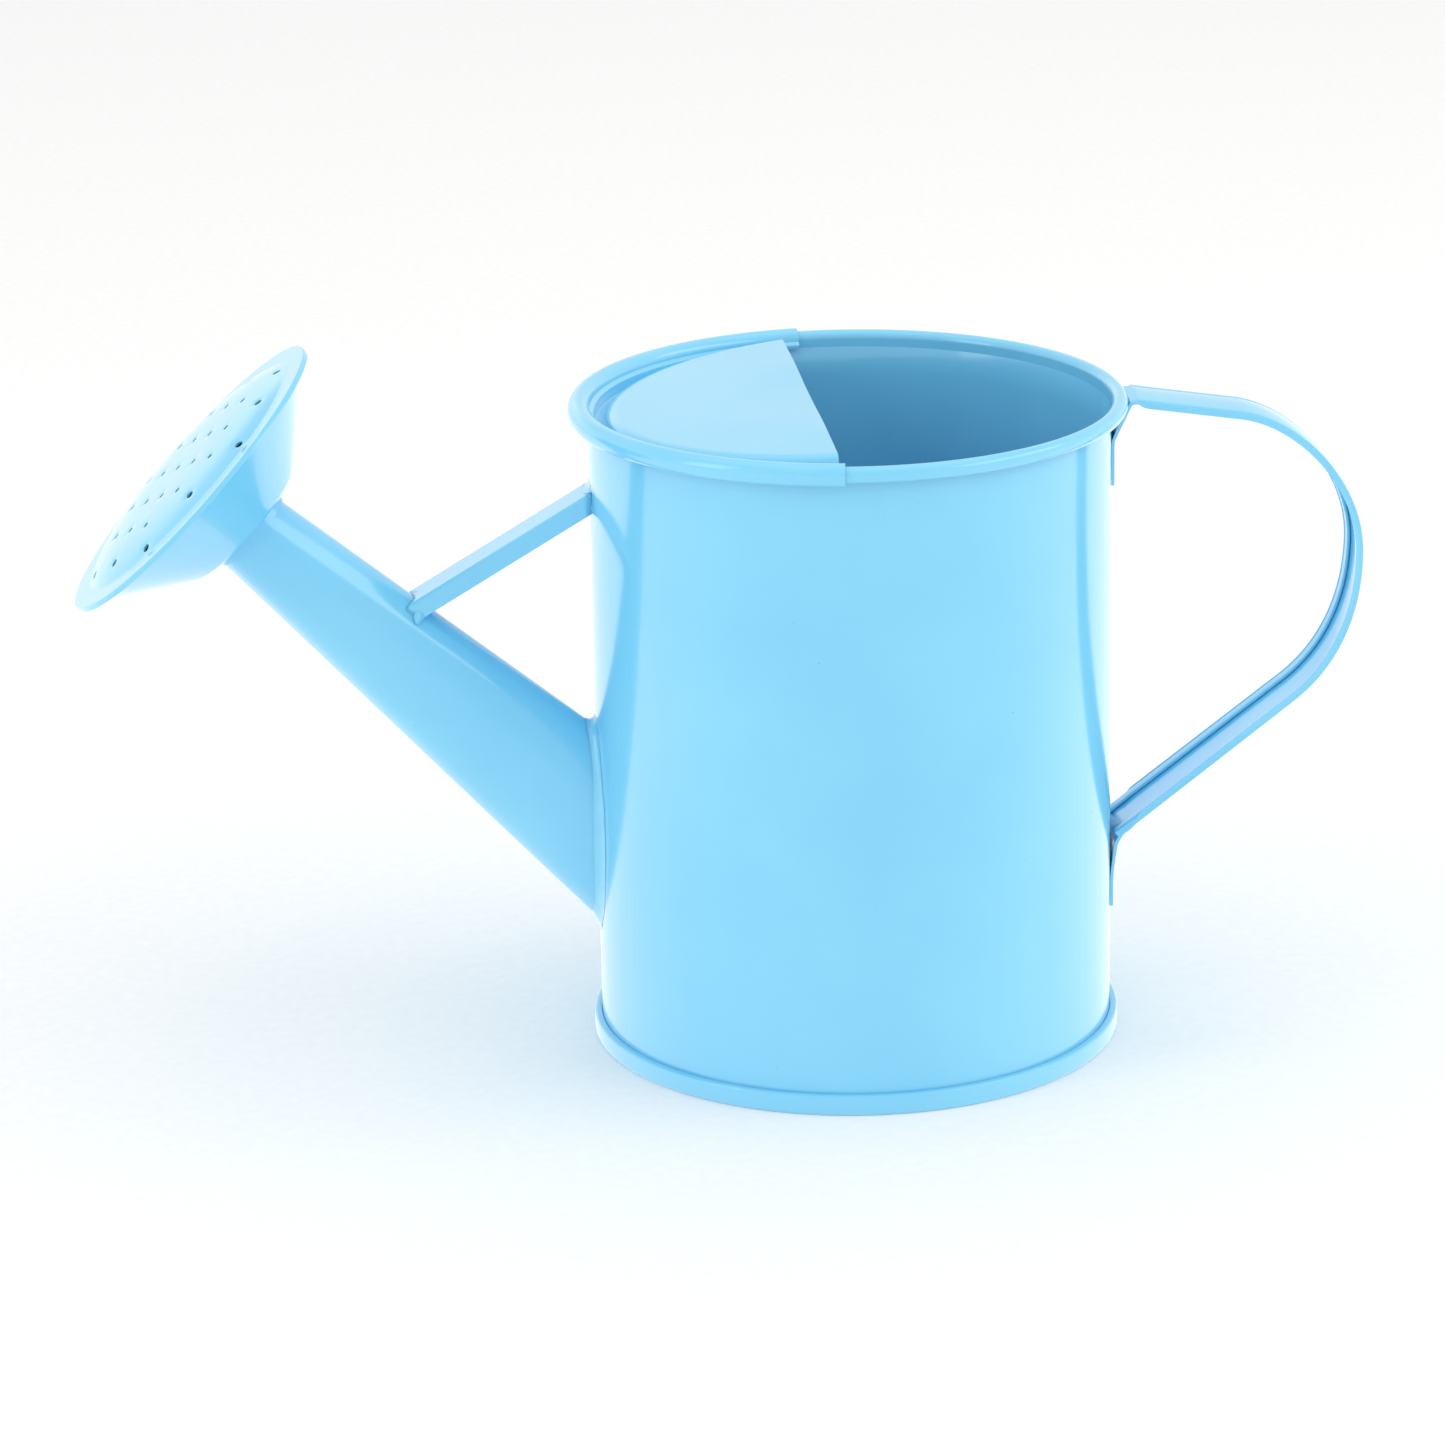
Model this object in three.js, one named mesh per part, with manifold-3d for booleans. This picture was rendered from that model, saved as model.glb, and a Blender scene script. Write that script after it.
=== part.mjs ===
// A small sheet steel watering can: rolled body, half cover, slanted spout with a rose, brace and
// strap handle.
// Millimetres and degrees. +Z is up, the spout points to -X and the handle to +X.
import * as THREE from 'three';
import { mergeVertices } from 'three/addons/utils/BufferGeometryUtils.js';
import Module from 'manifold-3d';

// Sheets and fits
const sheet = 0.6;                // body, base, spout, brace and handle
const coverSheet = 0.45;
const roseSheet = 0.45;
const gap = 0.3;                  // between pieces that touch on the real can

// Body
const bodyRadius = 52;            // outside of the wall
const bodyHeight = 132.3;         // floor to the top of the bare rim bead
const beadRadius = 1.6;           // outside of the rim's curl, in section
const beadOverhang = 3.35;        // from the wall to the outer edge of the curl
const flareHeight = 3.2;          // over which the wall leans out into the curl
const curlEnd = -110;             // where the curl stops, as an angle round its section
const seamHeight = 4.2;           // bottom seam, floor to top
const seamOverhang = 1.5;         // seam's outer edge beyond the wall
const baseRecess = 3;             // floor to the underside of the base disc

// Half cover
const coverCrimpEnd = 6;          // from the body's axis to the ends of the crimp
const coverEdge = 7.9;            // from the body's axis to the panel's straight edge
const coverEdgeTurn = 1.8;        // that edge is cut this many degrees out of square
const coverCrimpReach = -75;      // where the crimp stops under the bead, as an angle round its section
const panelRadius = 48.3;
const panelDrop = 2;              // from the bead's top down to the panel, at its outermost point
const panelRise = 2.6;            // from there up to its straight edge
const grooveDepth = 4.4;          // from the bead's top to the groove's floor

// Spout
const spoutAngle = 43;            // above the horizontal
const spoutRootHeight = 46.4;     // where its axis meets the wall
const spoutLength = 91.5;         // from there to the rose's collar
const spoutInsert = 5;            // length of tip inside the rose
const spoutTipTall = 16.6;        // height of its oval, outside
const spoutRootTall = 29.8;
const spoutWidth = 16.4;          // outside, the same all along
const spoutSolderWidth = 1.9;
const waterHoleInset = 1.2;       // from the spout's inside to the edge of the hole in the wall

// Rose
const roseTilt = 1.2;             // it leans back a little from the spout's axis
const roseRadius = 34;
const roseDepth = 17;             // from the collar's end to the flange
const roseConeRadius = 31.6;      // where the cone leaves the flange
const roseConeAngle = 51.3;       // between the cone's side and its axis
const roseBackDepth = 15.2;       // from the flange to the flat of the back
const roseShoulderRadius = 15.4;  // where the cone starts to round into the back
const roseDomeRadius = 29;
const roseDomeHeight = 2.8;
const roseDomePower = 5;          // how late the dome falls away to its brim
const roseLip = 0.6;              // how far the face is turned down round the flange
const holeDiameter = 1.5;
const holePitch = 9.35;           // between neighbours in the inner pattern
const holeRows = [3, 4, 5, 4, 3];
const outerHoles = 12;
const outerHoleRadius = 24.4;
const outerHoleStagger = 2.6;     // every second hole of the outer ring sits this much further out
const outerHoleTurn = -6.3;       // degrees that the outer ring is turned from the sideways line

// Brace
const braceWidth = 10;
const braceDepth = 3.7;
const braceAngle = 30.6;          // above the horizontal
const braceDrop = 16.9;           // from the top of the rim to the top of its web at the wall
const braceWallSolderSize = 1.6;
const braceSolderRadius = 2;

// Handle: a point is [distance beyond the wall, distance below the rim's top or above the floor]
const strapTopWidth = 12.6;       // at the rim
const strapFootWidth = 16.2;      // at the lower tab
const hemWidth = 2.7;
const hemDepth = 1.7;             // from the outside of the strap to the inside of the hem
const hemEase = 0.45;             // bevel along the hem's edges
const handleTop = [30, 5.7];      // below the rim: end of the straight run from there
const handleApex = [50.7, 34.5];  // below the rim
const handleTurn = [37, 67.1];    // above the floor: start of the lower straight run
const handleFoot = [2.6, 40.6];   // above the floor: its end
const upperTabDrop = [18.8, 9.8]; // below the rim, between which the tab lies on the wall
const lowerTab = [25.3, 31.8];    // the same above the floor
const strapLeaves = 3;            // beyond the wall, where the strap is no longer bent round it
const strapSteps = 40;

const wasm = await Module();
wasm.setup();

const rad = THREE.MathUtils.degToRad;
const around = 64;                // segments of a full turn on the body
const roseAround = 48;

// ---- geometry helpers ----

// Points of a circular arc in a plane, from angle to angle in degrees.
function arc(cx, cy, radius, from, to, steps) {
  return Array.from({ length: steps + 1 }, (_, i) => {
    const a = rad(from + (to - from) * i / steps);
    return [cx + radius * Math.cos(a), cy + radius * Math.sin(a)];
  });
}

// The outline of a sheet whose one face follows the path and whose other lies to the left of it.
function band(path, thickness) {
  const direction = path.slice(1).map((p, i) => {
    const length = Math.hypot(p[0] - path[i][0], p[1] - path[i][1]);
    return [(p[0] - path[i][0]) / length, (p[1] - path[i][1]) / length];
  });
  const other = path.map((p, i) => {
    const before = direction[Math.max(i - 1, 0)];
    const after = direction[Math.min(i, direction.length - 1)];
    const nx = -(before[1] + after[1]);
    const ny = before[0] + after[0];
    const scale = 2 * thickness / (nx * nx + ny * ny);
    return [p[0] + nx * scale, p[1] + ny * scale];
  });
  return [...path, ...other.reverse()];
}

// A manifold-3d solid from a closed three.js geometry.
function solid(geometry) {
  const bare = geometry.clone();
  bare.deleteAttribute('normal');
  bare.deleteAttribute('uv');
  const merged = mergeVertices(bare, 1e-4);
  const corners = merged.index.array;
  const kept = [];
  for (let i = 0; i < corners.length; i += 3) {
    const [a, b, c] = corners.slice(i, i + 3);
    if (a !== b && b !== c && c !== a) kept.push(a, b, c);
  }
  const made = meshSolid(merged.attributes.position.array, kept);
  return made.volume() > 0 ? made : meshSolid(merged.attributes.position.array, kept.reverse());
}

function meshSolid(positions, corners) {
  const vertProperties = new Float32Array(positions);
  const triVerts = new Uint32Array(corners);
  return new wasm.Manifold(new wasm.Mesh({ numProp: 3, vertProperties, triVerts }));
}

function geometryOf(made) {
  const result = made.getMesh();
  const geometry = new THREE.BufferGeometry();
  geometry.setAttribute('position', new THREE.BufferAttribute(result.vertProperties, 3));
  geometry.setIndex(new THREE.BufferAttribute(result.triVerts, 1));
  geometry.computeVertexNormals();
  return geometry;
}

// A closed outline of [radius, height] turned round Z.
function turned(outline, segments = around) {
  const closed = outline[0][0] > 0 || outline.at(-1)[0] > 0 ? [...outline, outline[0]] : outline;
  const points = closed.map(([r, z]) => new THREE.Vector2(r, z));
  return solid(new THREE.LatheGeometry(points, segments).rotateX(Math.PI / 2));
}

// A closed outline of [x, z] given a width along Y, centred on Y = 0.
function slab(outline, width, steps = 1) {
  const shape = new THREE.Shape(outline.map(([x, z]) => new THREE.Vector2(x, z)));
  const geometry = new THREE.ExtrudeGeometry(shape, { depth: width, steps, bevelEnabled: false });
  return solid(geometry.rotateX(Math.PI / 2).translate(0, width / 2, 0));
}

function box(low, high) {
  const size = high.map((v, i) => v - low[i]);
  const centre = high.map((v, i) => (v + low[i]) / 2);
  return solid(new THREE.BoxGeometry(...size).translate(...centre));
}

// Everything inside a radius round Z, over the whole height of the can.
function column(radius) {
  const geometry = new THREE.CylinderGeometry(radius, radius, 3 * bodyHeight, around);
  return solid(geometry.rotateX(Math.PI / 2).rotateZ(Math.PI / 2));
}

const far = 300;                  // beyond every piece

// ---- body ----

const beadCentre = [bodyRadius + beadOverhang - beadRadius, bodyHeight - beadRadius];
const flareStart = beadCentre[1] - flareHeight;
const hemTop = seamHeight - sheet - gap;

function bodyWall() {
  const inside = bodyRadius - sheet;
  const floor = sheet + gap;
  const outline = [
    [inside, floor],
    [bodyRadius + sheet, floor],
    [bodyRadius + sheet, hemTop - sheet / 2],
    [bodyRadius, hemTop],
    [bodyRadius, flareStart],
    ...arc(...beadCentre, beadRadius - sheet, 180, curlEnd, 6),
    ...arc(...beadCentre, beadRadius, curlEnd, 180, 9),
    [inside, flareStart],
  ];
  const hole = spoutCone(sheet + waterHoleInset).intersect(box([-far, -far, 0], [0, far, far]));
  return turned(outline).subtract(hole);
}

function rimWire() {
  const wireRadius = beadRadius - sheet - gap;
  return solid(new THREE.TorusGeometry(beadCentre[0], wireRadius, 6, around)
    .translate(0, 0, beadCentre[1]));
}

function basePlate() {
  const rise = baseRecess + sheet;
  const innerFace = bodyRadius - sheet - gap;
  const outerFace = bodyRadius + sheet + gap;
  const edge = bodyRadius + seamOverhang;
  const ease = 0.35;              // rounding of the seam's corners
  return turned([
    [0, rise],
    [innerFace - ease, rise],
    [innerFace, rise - ease],
    [innerFace, sheet],
    [outerFace, sheet],
    [outerFace, hemTop + gap - sheet / 2],
    [bodyRadius + gap, hemTop + gap],
    [bodyRadius + gap, seamHeight - ease],
    [bodyRadius + gap + ease, seamHeight],
    [edge - 2 * ease, seamHeight],
    [edge, seamHeight - 2 * ease],
    [edge, ease],
    [edge - ease, 0],
    [innerFace - sheet + ease, 0],
    [innerFace - sheet, ease],
    [innerFace - sheet, baseRecess],
    [0, baseRecess],
  ]);
}

// ---- half cover ----

function splashCover() {
  const inner = beadRadius + gap;
  const outer = inner + coverSheet;
  const [cx, cz] = beadCentre;
  const floorTop = bodyHeight - grooveDepth;
  const floor = floorTop - coverSheet;
  const legFoot = bodyRadius - sheet - gap;
  const crimp = [
    ...arc(cx, cz, inner, coverCrimpReach, 180, 8),
    [legFoot, floor],
    [panelRadius - coverSheet, floor],
    [panelRadius - coverSheet, floorTop],
    [legFoot - coverSheet, floorTop],
    ...arc(cx, cz, outer, 180, coverCrimpReach, 8),
  ];
  const skirt = [
    [panelRadius - coverSheet, floor],
    [panelRadius, floor],
    [panelRadius, bodyHeight + panelRise],
    [panelRadius - coverSheet, bodyHeight + panelRise],
  ];
  const outerHeight = bodyHeight - panelDrop;
  const tilt = Math.atan2(panelRise, panelRadius - coverEdge);
  const layer = (low, high) => slab([[0, low], [far, low], [far, high], [0, high]], far);
  const onPanel = (made) => made
    .rotate([0, -THREE.MathUtils.radToDeg(tilt), 0])
    .translate([-panelRadius, 0, outerHeight]);
  const panel = onPanel(layer(-coverSheet, 0)).intersect(column(panelRadius));
  const above = onPanel(layer(0, far)).add(onPanel(slab([[-far, 0], [1, 0], [1, far], [-far, far]], far)));
  const raised = turned(skirt).subtract(above).add(panel);
  const spoutSide = (x) => box([-far, -far, -far], [-x, far, far]);
  const edge = turned(crimp).intersect(spoutSide(coverCrimpEnd));
  const panelSide = spoutSide(coverEdge).rotate([0, 0, coverEdgeTurn]);
  const pastPanel = column(legFoot - 2 * coverSheet).subtract(panelSide);
  return edge.subtract(pastPanel).add(raised.intersect(panelSide));
}

// ---- spout ----

const spoutAxis = new THREE.Vector3(-Math.cos(rad(spoutAngle)), 0, Math.sin(rad(spoutAngle)));
const spoutRoot = new THREE.Vector3(-bodyRadius, 0, spoutRootHeight);
const spoutTaper = (spoutRootTall - spoutTipTall) / spoutLength;

// Half of the spout's height across, at a distance along its axis from the wall.
function spoutHalf(along) {
  return (spoutRootTall - spoutTaper * along) / 2;
}

// A frame on an axis in the XZ plane: its Z along the axis, its X upright, its Y sideways.
function onAxis(origin, axis) {
  const side = new THREE.Vector3(0, 1, 0);
  const up = new THREE.Vector3().crossVectors(side, axis);
  return new THREE.Matrix4().makeBasis(up, side, axis).setPosition(origin);
}

// The spout's filled shape, shrunk all round by an inset, from inside the body to the end of its tip.
function spoutCone(inset, from = -bodyRadius, to = spoutLength + spoutInsert) {
  const rings = 4;
  const geometry = new THREE.CylinderGeometry(1, 1, to - from, 40, rings);
  geometry.rotateX(Math.PI / 2).translate(0, 0, (from + to) / 2);
  const position = geometry.attributes.position;
  for (let i = 0; i < position.count; i += 1) {
    const z = position.getZ(i);
    position.setX(i, position.getX(i) * (spoutHalf(z) - inset));
    position.setY(i, position.getY(i) * (spoutWidth / 2 - inset));
  }
  return solid(geometry.applyMatrix4(onAxis(spoutRoot, spoutAxis)));
}

function spout() {
  const past = 1;                 // the bore runs out through both ends
  const bore = spoutCone(sheet, -bodyRadius, spoutLength + spoutInsert + past);
  return spoutCone(0).subtract(bore).subtract(column(bodyRadius + gap));
}

// A fillet of solder in the corner between spout and wall, worked out round the joint.
function spoutSolder() {
  const steps = 48;
  const ring = new THREE.TorusGeometry(1, 0.1, 4, steps);
  const position = ring.attributes.position;
  const frame = onAxis(spoutRoot, spoutAxis);
  // The point at an angle round the spout, a clearance off its side and off the wall.
  const corner = (angle, off, lift) => {
    const reach = bodyRadius + gap + lift;
    let along = 0;
    const point = new THREE.Vector3();
    for (let turn = 0; turn < 40; turn += 1) {
      const x = (spoutHalf(along) + off) * Math.cos(angle);
      const y = (spoutWidth / 2 + off) * Math.sin(angle);
      point.set(x, y, along).applyMatrix4(frame);
      const wall = -Math.sqrt(reach * reach - point.y * point.y);
      along += (point.x - wall) / -spoutAxis.x;
    }
    return point;
  };
  const section = [
    [gap, 0],
    [gap + spoutSolderWidth, 0],
    [gap + spoutSolderWidth * 0.35, spoutSolderWidth * 0.35],
    [gap, spoutSolderWidth],
  ];
  for (let j = 0; j <= 4; j += 1) {
    for (let i = 0; i <= steps; i += 1) {
      const [off, lift] = section[j % 4];
      const point = corner(2 * Math.PI * (i % steps) / steps, off, lift);
      position.setXYZ(j * (steps + 1) + i, point.x, point.y, point.z);
    }
  }
  return solid(ring);
}

// ---- rose ----

const roseAxis = new THREE.Vector3(
  -Math.cos(rad(spoutAngle + roseTilt)), 0, Math.sin(rad(spoutAngle + roseTilt)));
const collarEnd = spoutRoot.clone().addScaledVector(spoutAxis, spoutLength);
const roseFrame = onAxis(collarEnd, roseAxis);
const flangeRadius = roseRadius - roseSheet - gap;
const collarInside = Math.max(spoutHalf(spoutLength), spoutWidth / 2) + gap;

function placedRose(made) {
  return made.transform(roseFrame.elements);
}

function roseCup() {
  const back = roseDepth - roseBackDepth;
  const coneFoot = roseDepth - 2 * roseSheet - gap;
  const slope = Math.tan(rad(roseConeAngle));
  const shoulderHeight = coneFoot - (roseConeRadius - roseShoulderRadius) / slope;
  const collar = collarInside + roseSheet;
  const shoulder = new THREE.QuadraticBezierCurve(
    new THREE.Vector2(collar + 1, back),
    new THREE.Vector2(roseShoulderRadius - (shoulderHeight - back) * slope, back),
    new THREE.Vector2(roseShoulderRadius, shoulderHeight));
  const path = [
    [collar, 0],
    [collar, back - 0.5],
    ...shoulder.getPoints(4).map((p) => [p.x, p.y]),
    [roseConeRadius, coneFoot],
    [flangeRadius, coneFoot],
  ];
  return placedRose(turned(band(path, roseSheet), roseAround));
}

function roseFace() {
  const rings = 8;
  const dome = Array.from({ length: rings + 1 }, (_, i) => {
    const r = roseDomeRadius * Math.sqrt(i / rings);
    return [r, roseDepth + roseDomeHeight * (1 - (r / roseDomeRadius) ** roseDomePower)];
  });
  const outside = [
    ...dome,
    [roseRadius - roseSheet / 2, roseDepth],
    [roseRadius, roseDepth - roseSheet / 2],
    [roseRadius, roseDepth - roseSheet - roseLip],
  ];
  const inside = [
    [roseRadius - roseSheet, roseDepth - roseSheet - roseLip],
    [roseRadius - roseSheet, roseDepth - roseSheet],
    ...dome.map(([r, z]) => [r, z - roseSheet]).reverse(),
  ];
  const face = turned([...outside, ...inside], roseAround);
  const drill = new THREE.CylinderGeometry(holeDiameter / 2, holeDiameter / 2, 3 * roseDomeHeight, 8);
  const punch = solid(drill.rotateX(Math.PI / 2).translate(0, 0, roseDepth + roseDomeHeight));
  const punches = holeCentres().map(([x, y]) => punch.translate([x, y, 0]));
  return placedRose(punches.reduce((made, one) => made.subtract(one), face));
}

// A hexagonal pattern in the middle with a ring round it.
function holeCentres() {
  const rowPitch = holePitch * Math.sqrt(3) / 2;
  const inner = holeRows.flatMap((count, row) => Array.from({ length: count }, (_, i) => [
    (i - (count - 1) / 2) * holePitch,
    (row - (holeRows.length - 1) / 2) * rowPitch,
  ]));
  const ring = Array.from({ length: outerHoles }, (_, i) => {
    const radius = outerHoleRadius + (i % 2) * outerHoleStagger;
    const angle = 2 * Math.PI * i / outerHoles + rad(outerHoleTurn);
    return [radius * Math.sin(angle), radius * Math.cos(angle)];
  });
  return [...inner, ...ring];
}

// ---- brace ----

const braceAxis = new THREE.Vector3(-Math.cos(rad(braceAngle)), 0, -Math.sin(rad(braceAngle)));
const braceRoot = new THREE.Vector3(-bodyRadius, 0, bodyHeight - braceDrop);

// Where the top of the web runs into the top of the spout, in the XZ plane.
const braceMeets = (() => {
  const web = braceRoot.clone();
  const top = spoutRoot.clone().addScaledVector(
    new THREE.Vector3(Math.sin(rad(spoutAngle)), 0, Math.cos(rad(spoutAngle))), spoutHalf(0));
  const spoutSlope = -Math.tan(rad(spoutAngle) - Math.atan(spoutTaper / 2));
  const braceSlope = Math.tan(rad(braceAngle));
  const x = (top.z - web.z - spoutSlope * top.x + braceSlope * web.x) / (braceSlope - spoutSlope);
  return [x, web.z + braceSlope * (x - web.x)];
})();

// The folded channel, its web on top and a flange down each side, run out beyond both its ends.
function channel() {
  const half = braceWidth / 2;
  const depth = braceDepth;
  const fold = 0.4;               // bevel along the outside of each fold
  const section = [
    [-half, -depth], [-half, -fold], [-half + fold, 0], [half - fold, 0], [half, -fold], [half, -depth],
    [half - sheet, -depth], [half - sheet, -sheet],
    [-half + sheet, -sheet], [-half + sheet, -depth],
  ];
  const shape = new THREE.Shape(section.map(([y, z]) => new THREE.Vector2(y, z)));
  const spare = 2 * braceDepth;
  const reach = Math.hypot(braceMeets[0] - braceRoot.x, braceMeets[1] - braceRoot.z);
  const geometry = new THREE.ExtrudeGeometry(shape, { depth: reach + 2 * spare, bevelEnabled: false });
  geometry.translate(0, 0, -spare);
  const up = new THREE.Vector3(-braceAxis.z, 0, braceAxis.x).negate();
  const side = new THREE.Vector3().crossVectors(up, braceAxis);
  const frame = new THREE.Matrix4().makeBasis(side, up, braceAxis).setPosition(braceRoot);
  return solid(geometry.applyMatrix4(frame));
}

function spoutBrace() {
  return channel().subtract(column(bodyRadius + gap)).subtract(spoutCone(-gap));
}

// A puddle of solder outside one flange (side -1 or 1), on the spout.
function braceSolder(side) {
  const flange = braceWidth / 2 + gap;
  const [x, z] = braceMeets;
  const blob = new THREE.SphereGeometry(braceSolderRadius, 14, 10).scale(1.2, 0.8, 1);
  const placed = solid(blob.translate(x + braceSolderRadius, side * flange, z - braceDepth));
  const beside = box([-far, flange, 0], [0, far, far]);
  return placed.intersect(side > 0 ? beside : beside.mirror([0, 1, 0])).subtract(spoutCone(-gap));
}

// A bead of solder in the corner over the web, along the wall.
function braceWallSolder() {
  const size = braceWallSolderSize;
  const inside = bodyRadius + gap;
  const foot = braceRoot.z + 2 * gap;
  const drop = size * Math.tan(rad(braceAngle));
  const bead = turned([[inside, foot], [inside + size, foot - drop], [inside, foot + size]]);
  const reach = braceWidth / 2 - sheet;
  return bead.intersect(box([-far, -reach, 0], [0, reach, far]));
}

// ---- handle ----

const belowRim = ([beyond, drop]) => [bodyRadius + beyond, bodyHeight - drop];
const aboveFloor = ([beyond, height]) => [bodyRadius + beyond, height];
const strapStart = [beadCentre[0] + 3.4, beadCentre[1] - 0.3];
const strapFoot = aboveFloor(handleFoot);

// The outside of the strap from the rim to the foot, in the XZ plane, between its two bends.
function strapCurve() {
  const [top, apex, turn] = [belowRim(handleTop), belowRim(handleApex), aboveFloor(handleTurn)];
  const point = ([x, z]) => new THREE.Vector3(x, 0, z);
  const onwards = (from, to, share) => point([0, 1].map((i) => to[i] + (to[i] - from[i]) * share));
  const route = new THREE.CurvePath();
  route.add(new THREE.LineCurve3(point(strapStart), point(top)));
  route.add(new THREE.CubicBezierCurve3(
    point(top), onwards(strapStart, top, 0.47), point([apex[0], (apex[1] + top[1]) / 2]), point(apex)));
  route.add(new THREE.CubicBezierCurve3(
    point(apex), point([apex[0], apex[1] + (turn[1] - apex[1]) * 0.42]),
    onwards(strapFoot, turn, 0.26), point(turn)));
  route.add(new THREE.LineCurve3(point(turn), point(strapFoot)));
  return route;
}

// The strap's width at a height: it widens from the rim to the foot.
function strapWidthAt(z) {
  const share = (strapStart[1] - z) / (strapStart[1] - lowerTab[0]);
  return strapTopWidth + (strapFootWidth - strapTopWidth) * share;
}

// The folded edge along one side of the strap, on its inner face. Across the strap its sizes are shares
// of the width.
function hem(route, side) {
  const bite = sheet / 2;         // how deep it reaches into the strap
  const setBack = 0.05;           // behind the strap's edge, so that the two faces are not the same
  const outer = 0.5 - setBack / strapFootWidth;
  const inner = outer - hemWidth / strapFootWidth;
  const ease = hemEase / strapFootWidth;
  const section = [
    [outer, bite], [outer, hemDepth - hemEase], [outer - ease, hemDepth],
    [inner + ease, hemDepth], [inner, hemDepth - hemEase], [inner, bite],
  ];
  const shape = new THREE.Shape(section.map(([y, n]) => new THREE.Vector2(side * y, n)));
  return solid(new THREE.ExtrudeGeometry(shape, { steps: strapSteps, extrudePath: route }));
}

// The strap is made one unit wide, then spread to its width and bent round the wall where it lies on it.
function handle() {
  const route = strapCurve();
  const flat = route.getSpacedPoints(strapSteps).map((p) => [p.x, p.z]);
  const touching = bodyRadius + gap;
  const wall = touching + sheet;
  const [cx, cz] = beadCentre;
  const round = beadRadius + gap + 0.05;
  const underRim = [
    [touching, bodyHeight - upperTabDrop[0]],
    [touching, bodyHeight - upperTabDrop[1]],
    [touching + 0.3, cz - 2.8],
    [cx - 0.65, cz - round],
    ...arc(cx, cz, round, -75, -25, 2),
  ];
  const toFoot = [
    [strapFoot[0] - 0.9, strapFoot[1] - 1.6],
    [wall, lowerTab[1]],
    [wall, lowerTab[0]],
  ];
  const outline = band([...underRim, ...flat, ...toFoot].reverse(), sheet);
  const strap = slab(outline, 1, 6);
  const geometry = geometryOf(strap.add(hem(route, -1)).add(hem(route, 1)));
  const position = geometry.attributes.position;
  for (let i = 0; i < position.count; i += 1) {
    const x = position.getX(i);
    const y = position.getY(i) * strapWidthAt(position.getZ(i));
    const bend = THREE.MathUtils.clamp(1 - (x - wall) / strapLeaves, 0, 1);
    position.setX(i, x - bend * (wall - Math.sqrt(wall * wall - y * y)));
    position.setY(i, y);
  }
  return solid(geometry);
}

// ---- assembly ----

const paint = (color, roughness = 0.25) => new THREE.MeshStandardMaterial({ color, roughness, metalness: 0 });
const skyBlue = 0x8fd6f7;

const pieces = {
  body_wall: [bodyWall(), paint(skyBlue)],
  rim_wire: [rimWire(), new THREE.MeshStandardMaterial({ color: 0x8c9196, roughness: 0.45, metalness: 1 })],
  base_plate: [basePlate(), paint(skyBlue)],
  splash_cover: [splashCover(), paint(skyBlue)],
  spout: [spout(), paint(skyBlue)],
  spout_solder: [spoutSolder(), paint(skyBlue, 0.35)],
  rose_cup: [roseCup(), paint(skyBlue)],
  rose_face: [roseFace(), paint(skyBlue)],
  spout_brace: [spoutBrace(), paint(skyBlue)],
  brace_solder_left: [braceSolder(-1), paint(skyBlue, 0.35)],
  brace_solder_right: [braceSolder(1), paint(skyBlue, 0.35)],
  brace_wall_solder: [braceWallSolder(), paint(skyBlue, 0.35)],
  handle: [handle(), paint(skyBlue)],
};

// The frame's origin is under the middle of the whole can, from the rose's edge to the handle's back.
const flangeCentre = collarEnd.clone().addScaledVector(roseAxis, roseDepth);
const roseReach = -flangeCentre.x + roseRadius * roseAxis.z;

const wateringCan = new THREE.Group();
wateringCan.position.x = (roseReach - bodyRadius - handleApex[0]) / 2;
for (const [name, [made, material]] of Object.entries(pieces)) {
  const mesh = new THREE.Mesh(geometryOf(made), material);
  mesh.name = name;
  wateringCan.add(mesh);
}

export default wateringCan;
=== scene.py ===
"""A small sheet steel watering can in gloss sky blue enamel, on a pale studio floor.

Shapes are worked out in millimetres about the body's own axis, with the spout towards -X, and are
turned into metres in the frame when a mesh is made.
"""
import math

import bmesh
import bpy
import numpy as np
from mathutils import Matrix, Vector, geometry


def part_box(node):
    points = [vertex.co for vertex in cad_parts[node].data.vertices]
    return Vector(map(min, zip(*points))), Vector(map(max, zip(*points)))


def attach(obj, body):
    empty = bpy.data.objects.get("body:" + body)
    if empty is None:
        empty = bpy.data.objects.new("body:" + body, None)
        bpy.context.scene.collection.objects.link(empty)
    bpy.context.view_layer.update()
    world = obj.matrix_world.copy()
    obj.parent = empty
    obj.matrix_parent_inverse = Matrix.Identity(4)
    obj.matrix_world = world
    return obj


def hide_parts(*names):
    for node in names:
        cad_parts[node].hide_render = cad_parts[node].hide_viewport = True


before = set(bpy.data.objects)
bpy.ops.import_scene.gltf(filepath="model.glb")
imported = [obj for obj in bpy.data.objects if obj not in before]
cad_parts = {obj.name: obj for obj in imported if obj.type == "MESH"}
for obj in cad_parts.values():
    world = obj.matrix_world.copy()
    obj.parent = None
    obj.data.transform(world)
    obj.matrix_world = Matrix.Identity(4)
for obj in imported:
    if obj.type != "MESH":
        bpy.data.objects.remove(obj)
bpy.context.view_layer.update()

MM = 0.001


def box_mm(node):
    """A node's lowest and highest corner in millimetres, with X from the body's axis."""
    low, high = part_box(node)
    return np.array(low) / MM - AXIS, np.array(high) / MM - AXIS


AXIS = np.array([sum(corner.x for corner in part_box("body_wall")) / 2 / MM, 0.0, 0.0])

# ---- sizes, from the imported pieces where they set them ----

SHEET = 0.6                       # body, base, spout, brace and handle
COVER_SHEET = 0.45
ROSE_SHEET = 0.45
GAP = 0.3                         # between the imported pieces
TOUCH = 0.03                      # what is left of that gap here, where the real sheets touch

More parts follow.
